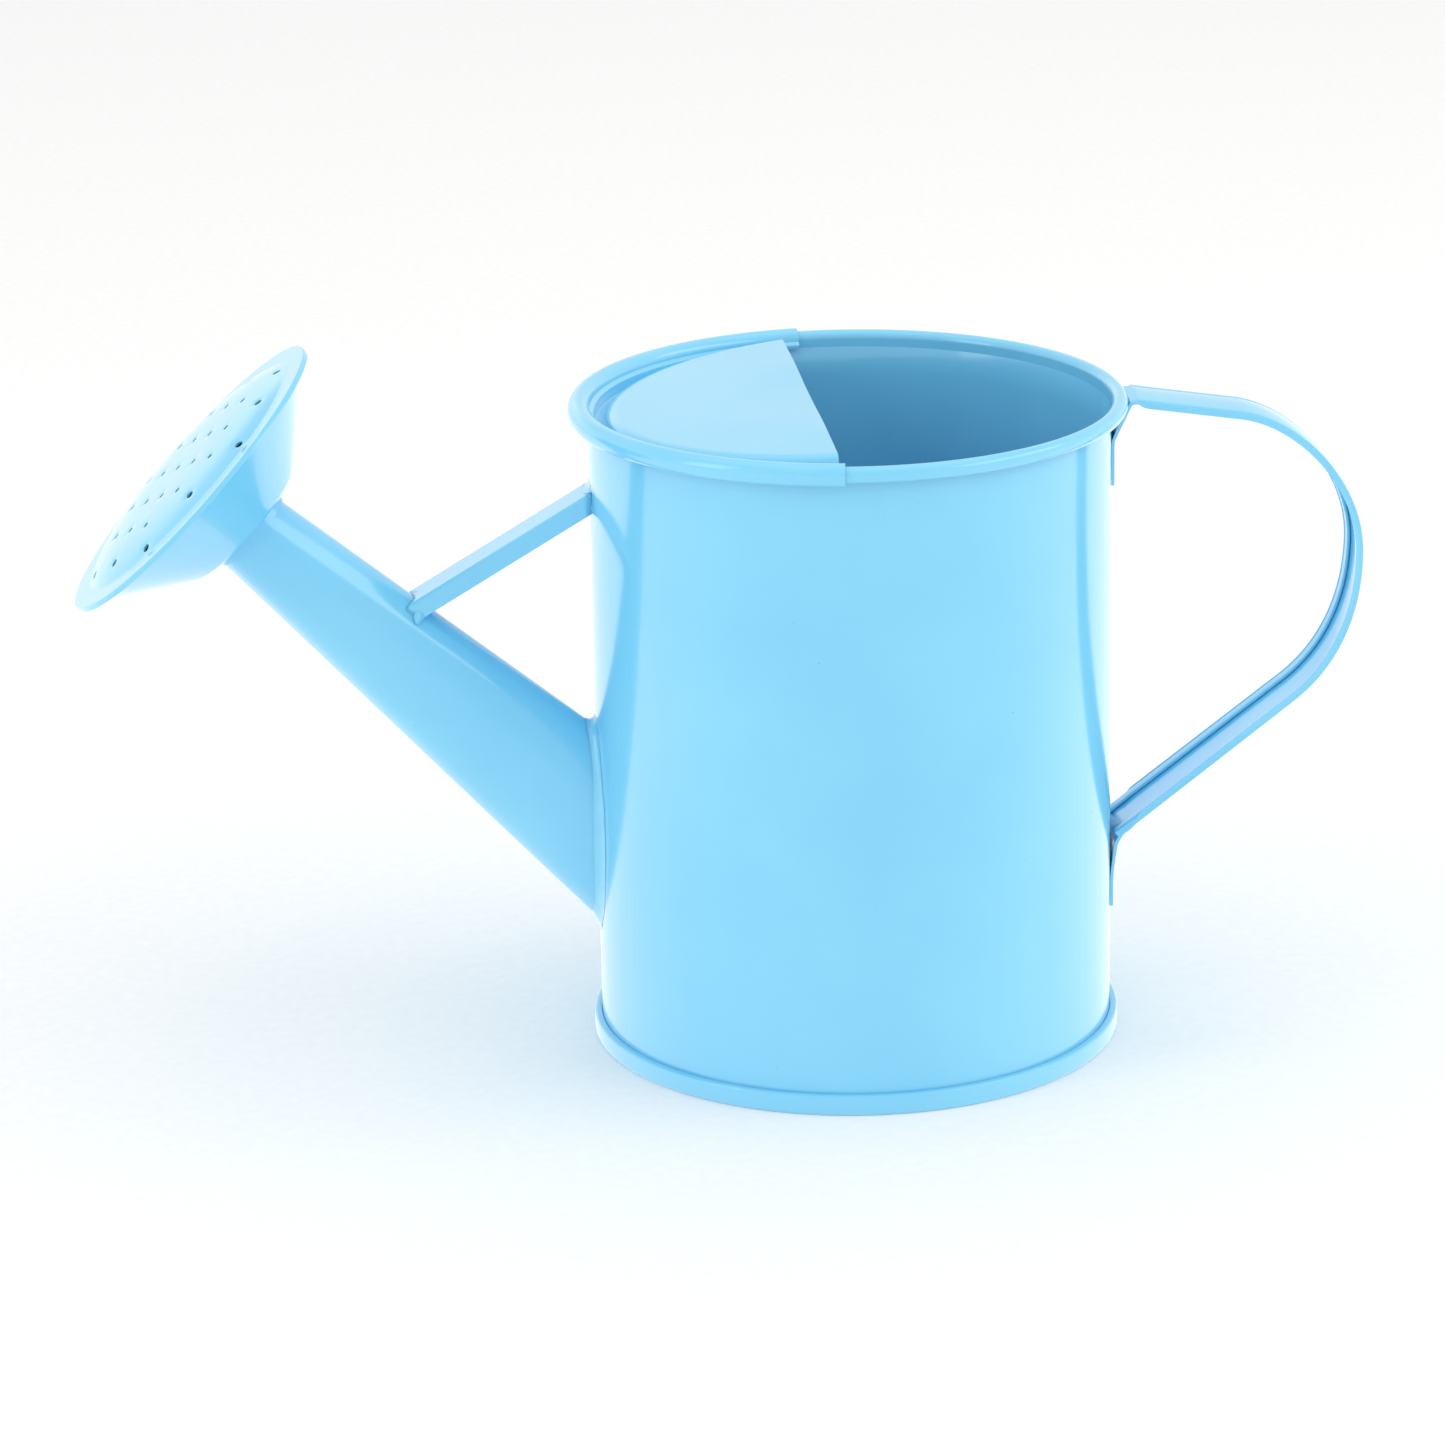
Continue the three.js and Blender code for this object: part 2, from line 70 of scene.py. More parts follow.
wall_high = box_mm("body_wall")[1]
base_high = box_mm("base_plate")[1]
spout_low, spout_high = box_mm("spout")
rose_low, rose_high = box_mm("rose_face")
brace_low, brace_high = box_mm("spout_brace")
handle_low, handle_high = box_mm("handle")

BODY_HEIGHT = wall_high[2]
SEAM_HEIGHT = base_high[2]
SEAM_RADIUS = base_high[0]
SEAM_REACH = 1.5                  # from the wall's outside to the seam's
BODY_RADIUS = SEAM_RADIUS - SEAM_REACH
BEAD_RADIUS = 1.6
BEAD = np.array([wall_high[0] - BEAD_RADIUS, BODY_HEIGHT - BEAD_RADIUS])
FLARE = 3.2                       # height over which the wall leans out into the bead
BASE_RECESS = 3.0

SPOUT_ANGLE = math.radians(43)
SPOUT_ROOT = np.array([-BODY_RADIUS, 0.0, 46.4])
SPOUT_LENGTH = 91.5
SPOUT_INSERT = 5.0
SPOUT_ROOT_TALL = 29.8
SPOUT_TIP_TALL = 16.6
SPOUT_WIDTH = spout_high[1] - spout_low[1]

ROSE_ANGLE = SPOUT_ANGLE + math.radians(1.2)
ROSE_RADIUS = (rose_high[1] - rose_low[1]) / 2
ROSE_DEPTH = 17.0
DOME_RADIUS = 29.0
DOME_HEIGHT = 2.8
DOME_POWER = 5                    # a high power: nearly flat in the middle, falling off at the edge
INNER_HOLE = 0.65                 # radius
OUTER_HOLE = 0.85

BRACE_WIDTH = brace_high[1] - brace_low[1]
BRACE_DEPTH = 3.7
BRACE_ANGLE = math.radians(30.6)
BRACE_ROOT = np.array([-BODY_RADIUS, 0.0, BODY_HEIGHT - 16.9])

STRAP_TOP = 12.6
STRAP_FOOT = handle_high[1] - handle_low[1]


# ---- small tools ----

def linear(hex_colour):
    """An sRGB hex colour as linear RGBA."""
    parts = [int(hex_colour[i:i + 2], 16) / 255 for i in (1, 3, 5)]
    return [c / 12.92 if c <= 0.04045 else ((c + 0.055) / 1.055) ** 2.4 for c in parts] + [1.0]


def smooth(t):
    t = np.clip(t, 0, 1)
    return t * t * (3 - 2 * t)


def arc(centre, radius, start, end, steps):
    """Points of a circular arc, from angle to angle in degrees."""
    angles = np.radians(np.linspace(start, end, steps + 1))
    return np.stack([centre[0] + radius * np.cos(angles), centre[1] + radius * np.sin(angles)], 1)


def rounded(corners, radius, steps=4):
    """An open polyline of [x, y] whose inner corners are rounded."""
    corners = np.array(corners, float)
    out = [corners[0]]
    for before, corner, after in zip(corners, corners[1:], corners[2:]):
        to_before, to_after = before - corner, after - corner
        reach = min(radius, np.linalg.norm(to_before) / 2.01, np.linalg.norm(to_after) / 2.01)
        start = corner + to_before / np.linalg.norm(to_before) * reach
        end = corner + to_after / np.linalg.norm(to_after) * reach
        for t in np.linspace(0, 1, steps + 1):
            out.append((1 - t) ** 2 * start + 2 * t * (1 - t) * corner + t * t * end)
    return np.array(out + [corners[-1]])


def respaced(path, spacing):
    """The same polyline with points no further apart than the spacing; its own points are kept."""
    out = [path[0]]
    for a, b in zip(path, path[1:]):
        count = max(1, int(math.ceil(np.linalg.norm(b - a) / spacing)))
        out += [a + (b - a) * k / count for k in range(1, count + 1)]
    return np.array(out)


def grid_faces(rows, columns, wrap_rows=False, wrap_columns=False, start=0):
    """Quads over a grid of points numbered row by row."""
    faces = []
    for r in range(rows if wrap_rows else rows - 1):
        for c in range(columns if wrap_columns else columns - 1):
            a, b = r * columns + c, r * columns + (c + 1) % columns
            d, e = (r + 1) % rows * columns + c, (r + 1) % rows * columns + (c + 1) % columns
            faces.append([start + i for i in (a, b, e, d)])
    return faces


def ripple(points, wave, seed=0.0):
    """A slow, smooth, repeatable unevenness between -1 and 1, for hand work and thin sheet."""
    x, y, z = (np.asarray(points, float) / wave).T
    s = seed
    return (np.sin(x * 1.7 + 1.3 * np.sin(y * 1.1 + s) + s) + np.sin(y * 2.1 + 1.7 * np.sin(z * 0.9 + s))
            + np.sin(z * 1.9 + 1.1 * np.sin(x * 1.3 - s) + 2 * s)) / 3


SHARP = 38                        # degrees between faces from which an edge shows as an edge
WELD_DISTANCE = 0.004
BEVEL_ANGLE = 50


def piece(name, points, faces, material, sharp=SHARP, thickness=0.0, bevel=0.0):
    """A smooth shaded mesh from points in millimetres, with its sheet's thickness and rounded cut edges."""
    mesh = bpy.data.meshes.new(name)
    mesh.from_pydata(((np.asarray(points, float) + AXIS) * MM).tolist(), [], faces)
    mesh.validate()
    mesh.shade_smooth()
    made = bpy.data.objects.new(name, mesh)
    bpy.context.scene.collection.objects.link(made)
    weld = made.modifiers.new("weld", "WELD")
    weld.merge_threshold = WELD_DISTANCE * MM
    if thickness:
        skin = made.modifiers.new("sheet", "SOLIDIFY")
        skin.thickness = abs(thickness) * MM
        skin.offset = math.copysign(1, thickness)
        skin.use_quality_normals = True
    if bevel:
        edge = made.modifiers.new("edges", "BEVEL")
        edge.width = bevel * MM
        edge.segments = 2
        edge.angle_limit = math.radians(BEVEL_ANGLE)
    settle(made)
    made.data.set_sharp_from_angle(angle=math.radians(sharp))
    made.data.materials.clear()
    made.data.materials.append(material)
    return made


def settle(made):
    """Applies an object's modifiers to its mesh."""
    graph = bpy.context.evaluated_depsgraph_get()
    mesh = bpy.data.meshes.new_from_object(made.evaluated_get(graph))
    made.modifiers.clear()
    made.data = mesh


def stands_for(made, node):
    """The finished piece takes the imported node's place on the one body."""
    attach(made, "root")
    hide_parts(node)
    return made


def turned(outline, steps):
    """Points and faces of a closed outline of [radius, height] turned round Z."""
    outline = np.array(outline, float)
    angles = np.linspace(0, 2 * math.pi, steps, endpoint=False)
    points = np.array([[r * math.cos(a), r * math.sin(a), z] for a in angles for r, z in outline])
    return points, grid_faces(steps, len(outline), wrap_rows=True, wrap_columns=True)


def tidy_normals(made):
    """Faces of a closed mesh turned outwards."""
    work = bmesh.new()
    work.from_mesh(made.data)
    bmesh.ops.recalc_face_normals(work, faces=work.faces)
    work.to_mesh(made.data)
    work.free()
    return made


# ---- materials ----

def add(tree, kind, links=None, values=None, stops=None, **properties):
    """Adds a node, with its properties, its sockets' values, the links into it and a ramp's stops."""
    node = tree.nodes.new(kind)
    for key, value in properties.items():
        setattr(node, key, value)
    for socket, value in (values or {}).items():
        node.inputs[socket].default_value = value
    for socket, source in (links or {}).items():
        tree.links.new(source, node.inputs[socket])
    if stops:
        elements = node.color_ramp.elements
        while len(elements) < len(stops):
            elements.new(0.5)
        for element, (position, colour) in zip(elements, stops):
            element.position = position
            element.color = linear(colour)
    return node


def node_tree(owner):
    """The emptied node tree of a new material or world."""
    owner.use_nodes = True
    owner.node_tree.nodes.clear()
    return owner.node_tree


def per_mm(size):
    """The scale of a pattern whose features are that many millimetres."""
    return 1 / (size * MM)


def sky_blue_enamel(name="sky_blue_enamel", lumps_mm=0.0):
    """Stoving enamel sprayed on tinned sheet steel: an even, opaque sky blue under a hard gloss, with the
    fine orange peel of a sprayed coat, slow waves from the thin sheet below it, a few specks of dust baked
    in, and a coat that is a little duller where the spray was thin."""
    material = bpy.data.materials.new(name)
    tree = node_tree(material)
    place = add(tree, "ShaderNodeTexCoord").outputs["Object"]
    drift = add(tree, "ShaderNodeTexNoise", {"Vector": place}, {"Scale": per_mm(38), "Detail": 3.0})
    coat = add(tree, "ShaderNodeValToRGB", {"Fac": drift.outputs["Fac"]},
               stops=[(0.30, "#79cff4"), (0.55, "#7ed3f6"), (0.80, "#84d7f8")])
    specks = add(tree, "ShaderNodeTexNoise", {"Vector": place}, {"Scale": per_mm(1.1), "Detail": 1.0})
    dust = add(tree, "ShaderNodeMapRange", {"Value": specks.outputs["Fac"]},
               {"From Min": 0.80, "From Max": 0.86})
    # Sockets 6 and 7 of a mix node are its two colours, and output 2 is the mixed one.
    colour = add(tree, "ShaderNodeMix", {"Factor": dust.outputs["Result"], 6: coat.outputs["Color"]},
                 {7: linear("#5fb4da")}, data_type="RGBA")
    haze = add(tree, "ShaderNodeTexNoise", {"Vector": place}, {"Scale": per_mm(14), "Detail": 4.0})
    gloss = add(tree, "ShaderNodeMapRange", {"Value": haze.outputs["Fac"]}, {"To Min": 0.12, "To Max": 0.22})
    peel = add(tree, "ShaderNodeTexNoise", {"Vector": place}, {"Scale": per_mm(1.6), "Detail": 2.0})
    bump = add(tree, "ShaderNodeBump", {"Height": peel.outputs["Fac"]},
               {"Strength": 0.05, "Distance": 0.1 * MM})
    waves = add(tree, "ShaderNodeTexNoise", {"Vector": place}, {"Scale": per_mm(16), "Detail": 1.0})
    bump = add(tree, "ShaderNodeBump", {"Height": waves.outputs["Fac"], "Normal": bump.outputs["Normal"]},
               {"Strength": 0.25, "Distance": 0.25 * MM})
    if lumps_mm:
        lumps = add(tree, "ShaderNodeTexNoise", {"Vector": place}, {"Scale": per_mm(lumps_mm), "Detail": 2.0})
        bump = add(tree, "ShaderNodeBump", {"Height": lumps.outputs["Fac"], "Normal": bump.outputs["Normal"]},
                   {"Strength": 0.6, "Distance": 0.4 * MM})
    shader = add(tree, "ShaderNodeBsdfPrincipled",
                 {"Base Color": colour.outputs[2], "Roughness": gloss.outputs["Result"],
                  "Normal": bump.outputs["Normal"]},
                 {"IOR": 1.5, "Coat Weight": 0.35, "Coat Roughness": 0.05})
    add(tree, "ShaderNodeOutputMaterial", {"Surface": shader.outputs["BSDF"]})
    return material


def drawn_wire():
    """Drawn mild steel wire: grey and satin, with the fine unevenness that the die leaves."""
    material = bpy.data.materials.new("drawn_steel_wire")
    tree = node_tree(material)
    place = add(tree, "ShaderNodeTexCoord").outputs["Object"]
    lines = add(tree, "ShaderNodeTexNoise", {"Vector": place}, {"Scale": per_mm(0.4), "Detail": 3.0})
    grey = add(tree, "ShaderNodeValToRGB", {"Fac": lines.outputs["Fac"]},
               stops=[(0.3, "#7d8184"), (0.7, "#9a9ea1")])
    bump = add(tree, "ShaderNodeBump", {"Height": lines.outputs["Fac"]},
               {"Strength": 0.3, "Distance": 0.05 * MM})
    shader = add(tree, "ShaderNodeBsdfPrincipled",
                 {"Base Color": grey.outputs["Color"], "Normal": bump.outputs["Normal"]},
                 {"Metallic": 1.0, "Roughness": 0.42})
    add(tree, "ShaderNodeOutputMaterial", {"Surface": shader.outputs["BSDF"]})
    return material


def studio_paper():
    """Matt white background paper: an even white with a faint fibre."""
    material = bpy.data.materials.new("white_studio_paper")
    tree = node_tree(material)
    place = add(tree, "ShaderNodeTexCoord").outputs["Object"]
    fibre = add(tree, "ShaderNodeTexNoise", {"Vector": place}, {"Scale": per_mm(2.5), "Detail": 4.0})
    white = add(tree, "ShaderNodeValToRGB", {"Fac": fibre.outputs["Fac"]},
                stops=[(0.3, "#fbfbfb"), (0.7, "#ffffff")])
    shader = add(tree, "ShaderNodeBsdfPrincipled", {"Base Color": white.outputs["Color"]},
                 {"Roughness": 0.9, "Specular IOR Level": 0.1})
    add(tree, "ShaderNodeOutputMaterial", {"Surface": shader.outputs["BSDF"]})
    return material


ENAMEL = sky_blue_enamel()
SOLDER = sky_blue_enamel("sky_blue_enamel_over_solder", lumps_mm=2.2)
WIRE = drawn_wire()


# ---- the body ----

BODY_STEPS = 240                  # round the body
LOCK_SEAM = 2.6                   # half the width of the seam under the handle
SEAM_GROOVE = 0.28                # depth of the groove down each side of it
SEAM_GROOVE_WIDTH = 0.55
WALL_WAVE = 0.05                  # unevenness of the rolled sheet
WALL_WAVE_LENGTH = 17.0
WATER_HOLE_INSET = 1.8            # from the spout's outside to the water hole's edge
BASE_BEAD_START, BASE_BEAD_END = 30.0, 36.0
BASE_BEAD_SIDE, BASE_BEAD_HEIGHT = 1.2, 0.7
SEAM_ROUNDING = 0.75


def spout_half(along):
    """Half the spout's height across at a distance along its axis from the wall."""
    return (SPOUT_ROOT_TALL - (SPOUT_ROOT_TALL - SPOUT_TIP_TALL) * along / SPOUT_LENGTH) / 2


def basis(angle):
    """Upright, sideways and forward directions of something that leaves the body at that angle."""
    forward = np.array([-math.cos(angle), 0.0, math.sin(angle)])
    side = np.array([0.0, 1.0, 0.0])
    return np.cross(side, forward), side, forward


UP, SIDE, ALONG = basis(SPOUT_ANGLE)


def on_spout(turn, along, off=0.0):
    """A point on the spout, at an angle round its section from its top side, off its outside."""
    x = (spout_half(along) + off) * math.cos(turn)
    y = (SPOUT_WIDTH / 2 + off) * math.sin(turn)
    return SPOUT_ROOT + UP * x + SIDE * y + ALONG * along


def meets_wall(turn, off, radius):
    """Where a line along the spout's side meets a radius about the body's axis."""
    along = 0.0
    for _ in range(40):
        point = on_spout(turn, along, off)
        wall = -math.sqrt(max(radius * radius - point[1] ** 2, 0))
        along += (point[0] - wall) / -ALONG[0]
    return along


def body_wall():
    inside = BODY_RADIUS - SHEET
    hem_top = SEAM_HEIGHT - SHEET - GAP
    outer = np.concatenate([
        [[BODY_RADIUS, hem_top], [BODY_RADIUS, BEAD[1] - FLARE]],
        arc(BEAD, BEAD_RADIUS, 180, -110, 28),
    ])
    inner = np.concatenate([
        arc(BEAD, BEAD_RADIUS - SHEET, -110, 180, 20),
        [[inside, BEAD[1] - FLARE], [inside, SHEET + GAP], [BODY_RADIUS + SHEET, SHEET + GAP],
         [BODY_RADIUS + SHEET, hem_top]],
    ])
    outline = respaced(np.concatenate([outer, inner, outer[:1]]), 4.0)[:-1]
    points, faces = turned(outline, BODY_STEPS)
    # Lock seam under the handle: a shallow fold, with a fine groove down each side of it.
    angle = np.arctan2(points[:, 1], points[:, 0])
    across = angle * BODY_RADIUS
    radius = np.hypot(points[:, 0], points[:, 1])
    upright = smooth((points[:, 2] - SEAM_HEIGHT) / 2) * smooth((BEAD[1] - FLARE - points[:, 2]) / 2)
    dent = -WALL_WAVE * ripple(points, WALL_WAVE_LENGTH, 0.7) * upright
    groove = -SEAM_GROOVE * np.exp(-((np.abs(across) - LOCK_SEAM) / SEAM_GROOVE_WIDTH) ** 2) * upright
    scale = (radius + dent + groove) / radius
    points[:, 0] *= scale
    points[:, 1] *= scale
    made = piece("body_wall_enamelled", points, faces, ENAMEL)
    tidy_normals(made)
    # The water hole behind the spout, with a clearance inside the spout's sheet. The cutter starts well
    # inside the body and ends well outside it.
    ring = 64
    hole = []
    for along in (-14.0, 12.0):
        for k in range(ring):
            hole.append(on_spout(2 * math.pi * k / ring, along, -WATER_HOLE_INSET))
    faces = grid_faces(2, ring, wrap_columns=True) + [list(range(ring))[::-1], list(range(ring, 2 * ring))]
    cutter = tidy_normals(piece("hole_cutter", hole, faces, ENAMEL))
    cut = made.modifiers.new("hole", "BOOLEAN")
    cut.object = cutter
    cut.operation = "DIFFERENCE"
    cut.solver = "EXACT"
    settle(made)
    bpy.data.objects.remove(cutter)
    made.data.set_sharp_from_angle(angle=math.radians(SHARP))
    return stands_for(made, "body_wall")


def base_plate():
    inner = BODY_RADIUS - SHEET - TOUCH
    outer = BODY_RADIUS + SHEET + GAP
    centre = 0.01
    lower = BASE_RECESS
    upper = lower + SHEET
    bead = [[BASE_BEAD_START, 0], [BASE_BEAD_START + BASE_BEAD_SIDE, BASE_BEAD_HEIGHT],
            [BASE_BEAD_END - BASE_BEAD_SIDE, BASE_BEAD_HEIGHT], [BASE_BEAD_END, 0]]
    corners = [
        [centre, upper], *[[r, upper + z] for r, z in bead], [inner, upper], [inner, SHEET], [outer, SHEET],
        [outer, SEAM_HEIGHT - SHEET], [BODY_RADIUS + TOUCH, SEAM_HEIGHT - SHEET],
        [BODY_RADIUS + TOUCH, SEAM_HEIGHT - 0.05], [BODY_RADIUS + 0.45, SEAM_HEIGHT],
        [SEAM_RADIUS, SEAM_HEIGHT - 0.1], [SEAM_RADIUS, 0], [inner - SHEET, 0], [inner - SHEET, lower],
        *[[r, lower + z] for r, z in reversed(bead)], [centre, lower],
    ]
    outline = respaced(rounded(corners, SEAM_ROUNDING, 5), 5.0)
    points, faces = turned(outline, BODY_STEPS)
    made = tidy_normals(piece("base_plate_enamelled", points, faces, ENAMEL))
    return stands_for(made, "base_plate")


# ---- the half cover ----

COVER_EDGE = 7.9                  # from the body's axis to the panel's straight edge
COVER_SKEW = math.radians(1.8)    # that edge is cut this far out of square
CRIMP_END = 6.0                   # to the ends of the crimp
PANEL_RADIUS = 48.3
PANEL_SHOULDER = 2.8              # width over which the panel rounds down to the groove
PANEL_DROP = 2.0                  # from the rim's top to the panel's foot
PANEL_RISE = 2.6                  # from there to its straight edge
PANEL_CROWN = 0.5
GROOVE = 4.4                      # from the rim's top to the groove's floor
CRIMP_CLEARANCE = 0.2
CUT_EDGE = 0.12                   # rounding of the sheet's cut edges under the enamel


def splash_cover():
    over = BEAD_RADIUS + CRIMP_CLEARANCE + COVER_SHEET
    leg = BODY_RADIUS - SHEET - GAP - COVER_SHEET
    floor = BODY_HEIGHT - GROOVE
    panel_height = BODY_HEIGHT - PANEL_DROP
    flat = PANEL_RADIUS - PANEL_SHOULDER
    shoulder_foot = floor + 1.1
    shoulder_height = panel_height - shoulder_foot
    shoulder = [[flat + PANEL_SHOULDER * math.cos(a), shoulder_foot + shoulder_height * math.sin(a)]
                for a in np.linspace(0, math.pi / 2, 12)]
    groove = rounded([[leg, floor + 2.2], [leg, floor], [PANEL_RADIUS + 0.5, floor], shoulder[0]], 0.6, 4)
    rim = respaced(np.concatenate([arc(BEAD, over, -75, 180, 26), groove[:-1], shoulder]), 1.0)
    lobe = int(np.argmax((rim[:, 0] < leg + 0.1) & (rim[:, 1] < floor + 0.9)))
    slope = PANEL_RISE / (PANEL_RADIUS - COVER_EDGE)

    def half_turn(r):
        """Half of the angle that the panel spans at a radius, out as far as the crimp's inner leg."""
        return math.acos(COVER_EDGE / min(r, leg))

    def raised(point):
        """The panel rises to its straight edge, with a slight crown, and the shoulder stretches with it."""
        x, y, z = point
        r = math.hypot(x, y)
        if r > PANEL_RADIUS + 0.01:
            return point
        share = smooth((z - shoulder_foot) / shoulder_height)
        crown = PANEL_CROWN * (1 - min(r / flat, 1) ** 2) * smooth((r - COVER_EDGE) / 20)
        return [x, y, z + (slope * (PANEL_RADIUS + x) + crown) * share]

    points, rows = [], []
    panel_steps, cover_steps = 30, 181
    for share in np.linspace(-1, 1, cover_steps):
        rows.append(len(points))
        for r, z in rim:
            turn = share * half_turn(r) - COVER_SKEW
            points.append(raised([-r * math.cos(turn), r * math.sin(turn), z]))
        turn = share * half_turn(flat)
        chord = COVER_EDGE / math.cos(turn)
        for k in range(1, panel_steps + 1):
            r = flat + (chord - flat) * k / panel_steps
            x, y = -r * math.cos(turn - COVER_SKEW), r * math.sin(turn - COVER_SKEW)
            points.append(raised([x, y, panel_height]))
    count = len(rim) + panel_steps
    faces = grid_faces(len(rows), count)
    # Past the panel's ends only the crimp goes on, to where it is cut off square.
    crimp_end = math.acos(CRIMP_END / (BEAD[0] + over))
    for sign in (-1, 1):
        last = [rows[0 if sign < 0 else -1] + k for k in range(lobe)]
        start = sign * half_turn(leg) - COVER_SKEW
        for turn in np.linspace(start, sign * crimp_end, 6)[1:]:
            new = [len(points) + k for k in range(lobe)]
            points += [[-r * math.cos(turn), r * math.sin(turn), z] for r, z in rim[:lobe]]
            pairs = (last, new) if sign > 0 else (new, last)
            faces += [[a, b, d, c] for a, b, c, d in zip(pairs[0], pairs[0][1:], pairs[1], pairs[1][1:])]
            last = new
    made = piece("splash_cover_enamelled", points, faces, ENAMEL, thickness=-COVER_SHEET,
                 bevel=CUT_EDGE)
    return stands_for(made, "splash_cover")


# ---- the spout ----

LAP_HEIGHT = 0.25                 # step of the lap seam along the underside
LAP_START, LAP_END = math.pi + 0.02, math.pi + 0.42
SPOUT_WAVE = 0.03
SPOUT_WAVE_LENGTH = 13.0
FILLET_LEG = 1.7
FILLET_SWELL = 0.12
FILLET_ROOT = 0.02                # from the spout to the fillet's hidden corner


def spout():
    ring, rows = 120, 60
    outer, inner = [], []
    for k in range(ring):
        turn = 2 * math.pi * k / ring
        for layer, off, radius in ((outer, 0.0, BODY_RADIUS + TOUCH), (inner, -SHEET, BODY_RADIUS + TOUCH)):
            start = meets_wall(turn, off, radius)
            end = SPOUT_LENGTH + SPOUT_INSERT
            # A lap seam runs along the underside, one edge of the sheet over the other.
            lap = LAP_HEIGHT * smooth((turn - LAP_START) / 0.05) * smooth((LAP_END - turn) / 0.3)
            lap = 0.0 if layer is inner else lap
            for t in np.linspace(0, 1, rows):
                layer.append(on_spout(turn, start + (end - start) * t, off + lap))
    count = ring * rows
    points = np.array(outer + inner)
    points[:count] += np.outer(ripple(points[:count], SPOUT_WAVE_LENGTH, 2.1) * SPOUT_WAVE, UP)
    faces = grid_faces(ring, rows, wrap_rows=True) + [
        face[::-1] for face in grid_faces(ring, rows, wrap_rows=True, start=count)]
    for k in range(ring):
        n = (k + 1) % ring
        faces.append([k * rows, n * rows, count + n * rows, count + k * rows])
        faces.append([n * rows + rows - 1, k * rows + rows - 1, count + k * rows + rows - 1,
                      count + n * rows + rows - 1])
    made = tidy_normals(piece("spout_enamelled", points, faces, ENAMEL))
    return stands_for(made, "spout")


def spout_solder():
    """The fillet run round the joint: concave, with a slightly uneven edge from the iron."""
    ring = 144
    points = []
    for k in range(ring):
        turn = 2 * math.pi * k / ring
        wide = FILLET_LEG + 0.28 * math.sin(5 * turn + 0.4) * math.sin(2 * turn) + 0.12 * math.sin(13 * turn)
        tall = FILLET_LEG + 0.22 * math.sin(4 * turn + 2.0)
        for t in np.linspace(0, 1, 7):
            # From the wall to the spout along a quarter of a hollow curve.
            swell = FILLET_SWELL * math.sin(math.pi * t)
            off = GAP / 2 + wide * (1 - math.sin(t * math.pi / 2)) + swell
            lift = TOUCH + tall * (1 - math.cos(t * math.pi / 2)) + swell
            along = meets_wall(turn, off, BODY_RADIUS + lift)
            points.append(on_spout(turn, along, off))
        along = meets_wall(turn, FILLET_ROOT, BODY_RADIUS + TOUCH)
        points.append(on_spout(turn, along, FILLET_ROOT))
    faces = grid_faces(ring, 8, wrap_rows=True, wrap_columns=True)
    made = tidy_normals(piece("spout_solder_fillet", points, faces, SOLDER, sharp=60))
    return stands_for(made, "spout_solder")


# ---- the rose ----

CUP_LENGTH = 15.2                 # from the cup's back to the face
CUP_SLOPE = math.radians(51.3)    # of the cone, from the rose's face
CUP_SHOULDER, CUP_MOUTH = 15.4, 31.6
COLLAR_CLEARANCE = 0.12
ROSE_STEPS = 180                  # round the rose
HOLE_PITCH = 9.35
HOLE_ROWS = (3, 4, 5, 4, 3)
RING_HOLES = 12
RING_RADIUS = 24.4
RING_STAGGER = 2.6                # every second hole stands this much further out
RING_TURN = math.radians(6.3)
PUNCH_DRAW = 0.16                 # how far the punch draws a hole's edge in

COLLAR_END = SPOUT_ROOT + ALONG * SPOUT_LENGTH
ROSE_UP, ROSE_SIDE, ROSE_ALONG = basis(ROSE_ANGLE)


def on_rose(points):
    """Points of the rose from its own axis: [upright, sideways, forward]."""
    points = np.asarray(points, float)
    turn = np.stack([ROSE_UP, ROSE_SIDE, ROSE_ALONG])
    return points @ turn + COLLAR_END


def rose_cup():
    back = ROSE_DEPTH - CUP_LENGTH
    foot = ROSE_DEPTH - 2 * ROSE_SHEET - TOUCH
    collar = max(spout_half(SPOUT_LENGTH), SPOUT_WIDTH / 2) + COLLAR_CLEARANCE + ROSE_SHEET
    slope = math.tan(CUP_SLOPE)
    shoulder_height = foot - (CUP_MOUTH - CUP_SHOULDER) / slope
    bend = np.array([CUP_SHOULDER - (shoulder_height - back) * slope, back])
    start, end = np.array([collar + 1.0, back]), np.array([CUP_SHOULDER, shoulder_height])
    curve = [(1 - t) ** 2 * start + 2 * t * (1 - t) * bend + t * t * end for t in np.linspace(0, 1, 13)]
    throat = rounded([end, [CUP_MOUTH, foot], [ROSE_RADIUS - ROSE_SHEET - 0.1, foot]], 1.6, 6)
    lip = rounded([[collar, 0.0], [collar, back], start], 0.7, 4)
    path = respaced(np.concatenate([lip, curve[1:], throat[1:]]), 1.2)
    squeeze = collar - ROSE_SHEET - COLLAR_CLEARANCE - SPOUT_WIDTH / 2
    points = []
    for a in np.linspace(0, 2 * math.pi, ROSE_STEPS, endpoint=False):
        for r, z in path:
            # The collar closes from round onto the oval tip.
            near = smooth((collar + 2.5 - r) / 2.5)
            points.append([r * math.cos(a), (r - squeeze * near) * math.sin(a), z])
    faces = grid_faces(ROSE_STEPS, len(path), wrap_rows=True)
    made = piece("rose_cup_enamelled", on_rose(points), faces, ENAMEL, thickness=ROSE_SHEET)
    return stands_for(made, "rose_cup")


